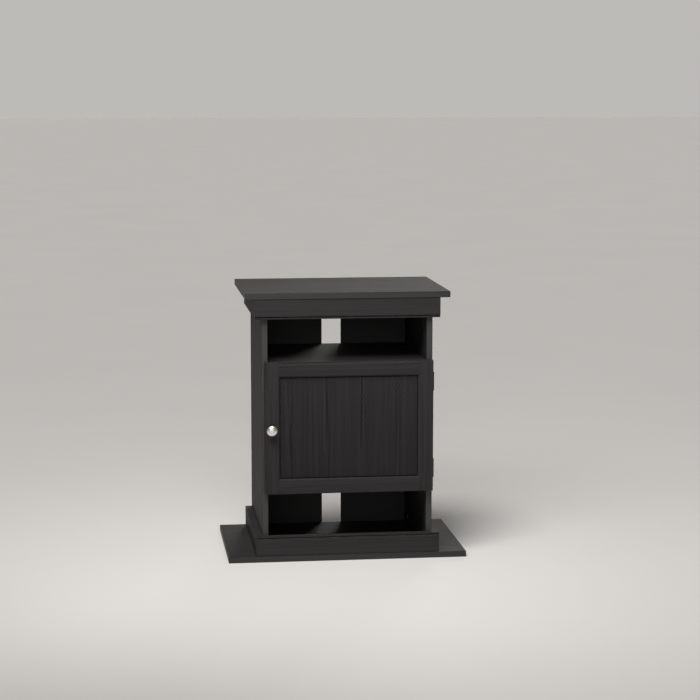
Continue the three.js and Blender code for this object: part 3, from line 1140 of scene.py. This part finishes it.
# cams: a round body with a raised rim and a cross slot in its face
cams = {
    "steps": 40,
    "rim": 0.6 * mm,
    "sunk": 0.5 * mm,
    "chamfer": 0.35 * mm,
    "slotHalf": 4.2 * mm,
    "slotWide": 0.9 * mm,
    "slotDeep": 1.6 * mm,
}


def makeCam(node, centre, way):
    low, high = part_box(node)
    axis = mainAxis(way)
    radius = max(high[i] - low[i] for i in range(3) if i != axis) / 2
    deep = high[axis] - low[axis]
    face = ontoFace(centre, low, high, way)
    chamfer, rim, sunk = cams["chamfer"], cams["rim"], cams["sunk"]
    outline = [
        (0, -sunk),
        (radius - chamfer - rim - sunk, -sunk),
        (radius - chamfer - rim, 0),
        (radius - chamfer, 0),
        (radius, -chamfer),
        (radius, -deep + chamfer),
        (radius - chamfer, -deep),
        (0, -deep),
    ]
    piece = turnedPiece(node, zinc, outline, face, way, cams["steps"])
    carve(piece, [crossCutter(face, way, cams["slotHalf"], cams["slotWide"], cams["slotDeep"])])


for board in ("left_side_panel", "right_side_panel", "lower_shelf", "upper_shelf"):
    for camNode, centre, way in camsIn(board):
        makeCam(camNode, centre, way)
print("cams made")


# hinges: leaves with round knuckles, and a headed pin whose dome is in shares of its head
hinge = {
    "steps": 28,
    "knuckle": 2.3 * mm,
    "leafThick": 1.1 * mm,
    "plateGap": 0.1 * mm,
    "tabOverlap": 0.2 * mm,
    "endKnuckle": 9 * mm,
    "play": 0.3 * mm,
    "knuckleRound": 0.3 * mm,
    "knuckleEase": 0.3,
    "plateRound": 0.25 * mm,
    "plateAngle": 40,
    "screwHole": 2.85 * mm,
    "holeOver": 1 * mm,
    "holeRun": 4 * mm,
    "pinHead": 1.9 * mm,
    "pinHeadTall": 0.7 * mm,
    "pinDome": [(0, 1), (0.55, 0.9), (0.9, 0.55), (1, 0.2)],
}


def knuckleInto(bm, place, low, high):
    radius, soft = hinge["knuckle"], hinge["knuckleRound"]
    ease = soft * hinge["knuckleEase"]
    rows = [
        (radius - soft, low),
        (radius - ease, low + ease),
        (radius, low + soft),
        (radius, high - soft),
        (radius - ease, high - ease),
        (radius - soft, high),
    ]
    rings = []
    for r, z in rows:
        rings.append([bm.verts.new((place.x + x, place.y + y, z)) for x, y in circle(r, hinge["steps"])])
    closedTube(bm, rings)


def makeLeaf(node, spans, plateSide, holes):
    # plateSide: 1 where the plate lies behind the pin, -1 where it lies in front
    low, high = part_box(node)
    pin = Vector((high.x - hinge["knuckle"], (low.y + high.y) / 2, 0))
    gap, thick = hinge["plateGap"], hinge["leafThick"]
    front, rear = sorted((pin.y + plateSide * gap, pin.y + plateSide * (gap + thick)))
    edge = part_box("right_side_panel")[1].x - hinge["play"]
    bm = bmesh.new()
    boxInto(bm, (low.x, front, low.z), (edge, rear, high.z))
    piece = pieceFrom(bm, camelName(node), bodyOf(node), (node,), "black_steel", blackSteel)
    cutters = []
    for x, z in holes:
        start = Vector((x, front - hinge["holeOver"], z))
        cutters.append(roundCutter(hinge["screwHole"], start, yAxis, hinge["holeRun"], hinge["steps"]))
    carve(piece, cutters)
    bm = bmesh.new()
    bm.from_mesh(piece.data)
    for spanLow, spanHigh in spans:
        boxInto(bm, (edge - hinge["tabOverlap"], front, spanLow), (pin.x, rear, spanHigh))
        knuckleInto(bm, pin, spanLow, spanHigh)
    bm.to_mesh(piece.data)
    bm.free()
    for face in piece.data.polygons:
        face.use_smooth = True
    softenEdges(piece, hinge["plateRound"], angle=hinge["plateAngle"])


def makePin(node):
    low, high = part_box(node)
    radius, tall = (high.x - low.x) / 2, high.z - low.z
    head, headTall = hinge["pinHead"], hinge["pinHeadTall"]
    crown = [(head * r, tall + headTall * h) for r, h in hinge["pinDome"]]
    foot = [(head * r, -headTall * h) for r, h in reversed(hinge["pinDome"])]
    outline = [*crown, (head, tall), (radius, tall), (radius, 0), (head, 0), *foot]
    place = ontoFace((low + high) / 2, low, high, -zAxis)
    turnedPiece(node, blackSteel, outline, place, zAxis, hinge["steps"])


def screwPlaces(prefix):
    places = []
    for row in ("low", "high"):
        low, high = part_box(f"{prefix}_{row}")
        places.append(((low.x + high.x) / 2, (low.z + high.z) / 2))
    return places


for end in ("upper", "lower"):
    low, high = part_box(f"{end}_hinge_cabinet_leaf")
    lowJoint, highJoint = low.z + hinge["endKnuckle"], high.z - hinge["endKnuckle"]
    endSpans = [(low.z, lowJoint), (highJoint, high.z)]
    middleSpan = [(lowJoint + hinge["play"], highJoint - hinge["play"])]
    for leaf, spans, plateSide in (("cabinet", endSpans, 1), ("door", middleSpan, -1)):
        holes = screwPlaces(f"{end}_hinge_{leaf}_screw")
        makeLeaf(f"{end}_hinge_{leaf}_leaf", spans, plateSide, holes)
    makePin(f"{end}_hinge_pin")
print("hinges made")


# magnetic catch and strike plate
catch = {
    "round": 0.6 * mm,
    "strikeRound": 0.2 * mm,
    "poleThick": 1.1 * mm,
    "poleProud": 0.7 * mm,
    "poleSunk": 4 * mm,
    "poleInset": 2.4 * mm,
    "poleHalf": 10 * mm,
    "poleRound": 0.15 * mm,
}


def makePoles():
    low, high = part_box("catch_body")
    middle = (low.x + high.x) / 2
    left, right = middle - catch["poleHalf"], middle + catch["poleHalf"]
    front, rear = low.y - catch["poleProud"], low.y + catch["poleSunk"]
    thick, inset = catch["poleThick"], catch["poleInset"]
    bm = bmesh.new()
    for foot in (low.z + inset, high.z - inset - thick):
        boxInto(bm, (left, front, foot), (right, rear, foot + thick))
    softenEdges(pieceFrom(bm, "catchPoles", "carcass", (), "zinc", zinc), catch["poleRound"])


softCopy("catch_body", "black_plastic", blackPlastic, catch["round"])
softCopy("strike_plate", "zinc", zinc, catch["strikeRound"])
makePoles()
print("catch made")


# the solids that stay as they are lie inside the boards
slotFinishes = {
    "black_steel": blackSteel,
    "satin_nickel": satinNickel,
    "zinc": zinc,
    "black_plastic": blackPlastic,
    "backing_board": hardboard,
}
spareGrain = grainedLaminate("spareGrain", "cabinet", "x", (0.5, 0.5, 0.5))
for part in frame["record"]["subparts"]:
    node = nodes[part["node"]]
    node.data.materials.clear()
    node.data.materials.append(slotFinishes.get(part["material_slot"], spareGrain))


# floor, light and surroundings
studio = {
    "floor": (0.82, 0.81, 0.79),
    "floorHalf": 60,
    "floorCloud": {"scale": 1.3, "detail": 4.0, "roughness": 0.6},
    "floorMottle": 0.03,
    "floorRough": 0.9,
    "backdrop": (0.505, 0.493, 0.470),
    "backdropSeen": 1.0,
    "surround": 0.25,
    "suns": {
        "main": {
            "from": (-0.25, -0.36, 1.0),
            "strength": 1.35,
            "softness": 26,
            "color": (1.0, 0.985, 0.965),
        },
        "window": {
            "from": (0.30, 0.88, 0.26),
            "strength": 0.6,
            "softness": 20,
            "color": (1.0, 0.985, 0.955),
        },
        "front": {
            "from": (-0.12, -1.0, 0.20),
            "strength": 0.38,
            "softness": 30,
            "color": (1.0, 0.985, 0.965),
        },
    },
    "upper": {
        "place": (-0.45, -1.1, 1.6),
        "aim": (0, -0.2, 0.62),
        "size": (0.9, 0.5),
        "power": 8.0,
        "beam": 125,
        "color": (1.0, 0.985, 0.965),
    },
}


def makeFloor():
    material, tree, shader, coordinates = newMaterial("floorPaint")
    cloud = evenNoise(tree, coordinates, **studio["floorCloud"])
    dark = tinted(studio["floor"], 1 - studio["floorMottle"])
    light = tinted(studio["floor"], 1 + studio["floorMottle"])
    tree.links.new(mixColors(tree, cloud, dark, light), shader.inputs["Base Color"])
    shader.inputs["Roughness"].default_value = studio["floorRough"]
    shader.inputs["Specular IOR Level"].default_value = 0.0
    bm = bmesh.new()
    half = studio["floorHalf"]
    corners = ((-half, -half, 0), (half, -half, 0), (half, half, 0), (-half, half, 0))
    bm.faces.new([bm.verts.new(corner) for corner in corners])
    floor = pieceFrom(bm, "floor", None, (), None, material)


def hangLamp(name, data, look):
    lamp = bpy.data.objects.new(name, data)
    bpy.context.scene.collection.objects.link(lamp)
    lamp.rotation_euler = look.to_track_quat("-Z", "Y").to_euler()
    return lamp


def makeLamps():
    for name, values in studio["suns"].items():
        sun = bpy.data.lights.new(name, "SUN")
        sun.energy = values["strength"]
        sun.angle = math.radians(values["softness"])
        sun.color = values["color"]
        hangLamp(name, sun, -Vector(values["from"]))
    upper = studio["upper"]
    data = bpy.data.lights.new("upper", "AREA")
    data.shape = "RECTANGLE"
    data.size, data.size_y = upper["size"]
    data.energy = upper["power"]
    data.spread = math.radians(upper["beam"])
    data.color = upper["color"]
    lamp = hangLamp("upper", data, Vector(upper["aim"]) - Vector(upper["place"]))
    lamp.location = upper["place"]
    lamp.visible_camera = False


def makeSurroundings():
    world = bpy.data.worlds.new("studio")
    world.use_nodes = True
    tree = world.node_tree
    tree.nodes.clear()
    seen = addNode(tree, "ShaderNodeLightPath").outputs["Is Camera Ray"]
    surround = studio["surround"]
    strength = mathNode(tree, "MULTIPLY_ADD", seen, studio["backdropSeen"] - surround, surround)
    inputs = {"Color": studio["backdrop"] + (1,), "Strength": strength}
    background = addNode(tree, "ShaderNodeBackground", None, inputs)
    output = tree.nodes.new("ShaderNodeOutputWorld")
    tree.links.new(background.outputs[0], output.inputs["Surface"])
    bpy.context.scene.world = world


makeFloor()
makeLamps()
makeSurroundings()
print("studio ready")
